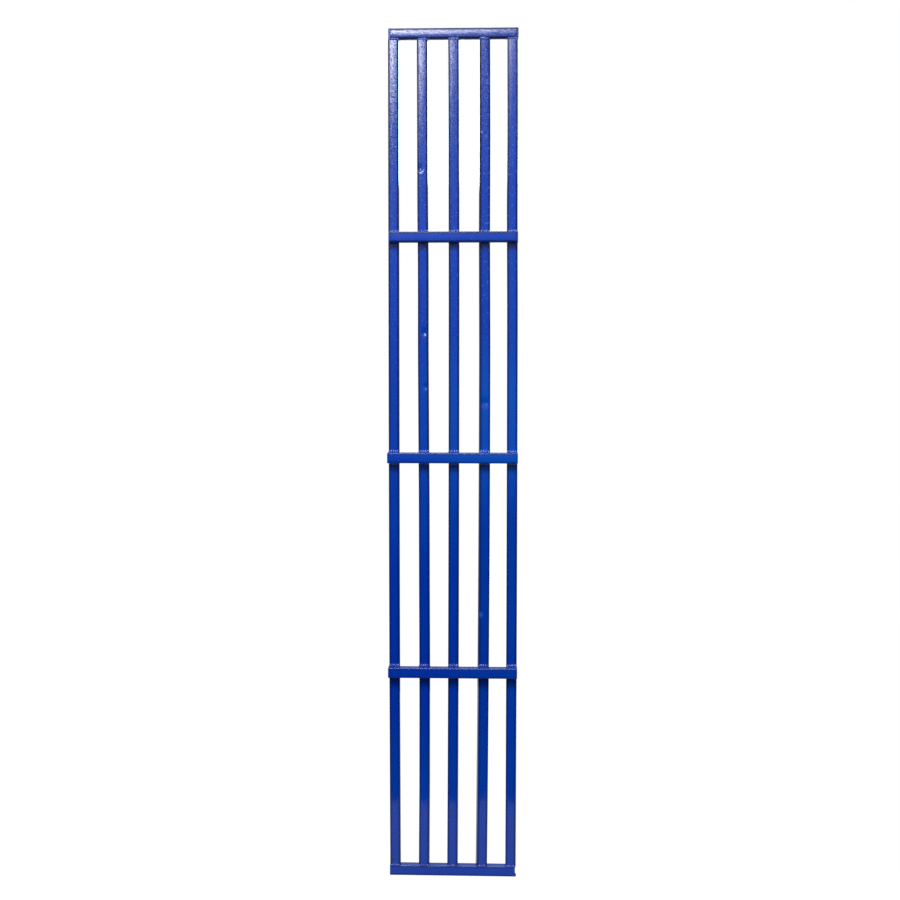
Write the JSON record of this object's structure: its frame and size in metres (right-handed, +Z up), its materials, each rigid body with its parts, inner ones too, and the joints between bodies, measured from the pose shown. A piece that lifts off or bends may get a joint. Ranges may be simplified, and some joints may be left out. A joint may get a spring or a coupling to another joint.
{
  "type": "welded bar grille panel",
  "caption": "Tall narrow flat grille of parallel square-tube rails welded between end tubes, with front-lapped crossbars and plugged tube ends, gloss blue.",
  "frame": {"origin": "middle of the underside of the bottom end tube, in the mid-plane of the rails", "axes": "+Z up along the rails, +X to the right across the rails, -Y towards the side that the crossbars are lapped on"},
  "size_m": [0.3045, 0.05, 1.99],
  "materials": {
    "tube_paint": "thick gloss blue paint with orange peel over mild steel tube",
    "weld_paint": "thick gloss blue paint over rippled weld beads",
    "plug_paint": "gloss blue paint over moulded plastic"
  },
  "bodies": {
    "root": {"rail_1": "tube_paint", "rail_2": "tube_paint", "rail_3": "tube_paint", "rail_4": "tube_paint", "rail_5": "tube_paint", "top_end_tube": "tube_paint", "upper_crossbar": "tube_paint", "middle_crossbar": "tube_paint", "lower_crossbar": "tube_paint", "bottom_end_tube": "tube_paint", "weld_top_end_tube_rail_1": "weld_paint", "weld_top_end_tube_rail_2": "weld_paint", "weld_top_end_tube_rail_3": "weld_paint", "weld_top_end_tube_rail_4": "weld_paint", "weld_top_end_tube_rail_5": "weld_paint", "weld_upper_crossbar_rail_1": "weld_paint", "weld_upper_crossbar_rail_2": "weld_paint", "weld_upper_crossbar_rail_3": "weld_paint", "weld_upper_crossbar_rail_4": "weld_paint", "weld_upper_crossbar_rail_5": "weld_paint", "weld_middle_crossbar_rail_1": "weld_paint", "weld_middle_crossbar_rail_2": "weld_paint", "weld_middle_crossbar_rail_3": "weld_paint", "weld_middle_crossbar_rail_4": "weld_paint", "weld_middle_crossbar_rail_5": "weld_paint", "weld_lower_crossbar_rail_1": "weld_paint", "weld_lower_crossbar_rail_2": "weld_paint", "weld_lower_crossbar_rail_3": "weld_paint", "weld_lower_crossbar_rail_4": "weld_paint", "weld_lower_crossbar_rail_5": "weld_paint", "weld_bottom_end_tube_rail_1": "weld_paint", "weld_bottom_end_tube_rail_2": "weld_paint", "weld_bottom_end_tube_rail_3": "weld_paint", "weld_bottom_end_tube_rail_4": "weld_paint", "weld_bottom_end_tube_rail_5": "weld_paint", "top_end_tube_plug_left": "plug_paint", "top_end_tube_plug_right": "plug_paint", "upper_crossbar_plug_left": "plug_paint", "upper_crossbar_plug_right": "plug_paint", "middle_crossbar_plug_left": "plug_paint", "middle_crossbar_plug_right": "plug_paint", "lower_crossbar_plug_left": "plug_paint", "lower_crossbar_plug_right": "plug_paint", "bottom_end_tube_plug_left": "plug_paint", "bottom_end_tube_plug_right": "plug_paint"}
  },
  "joints": []
}
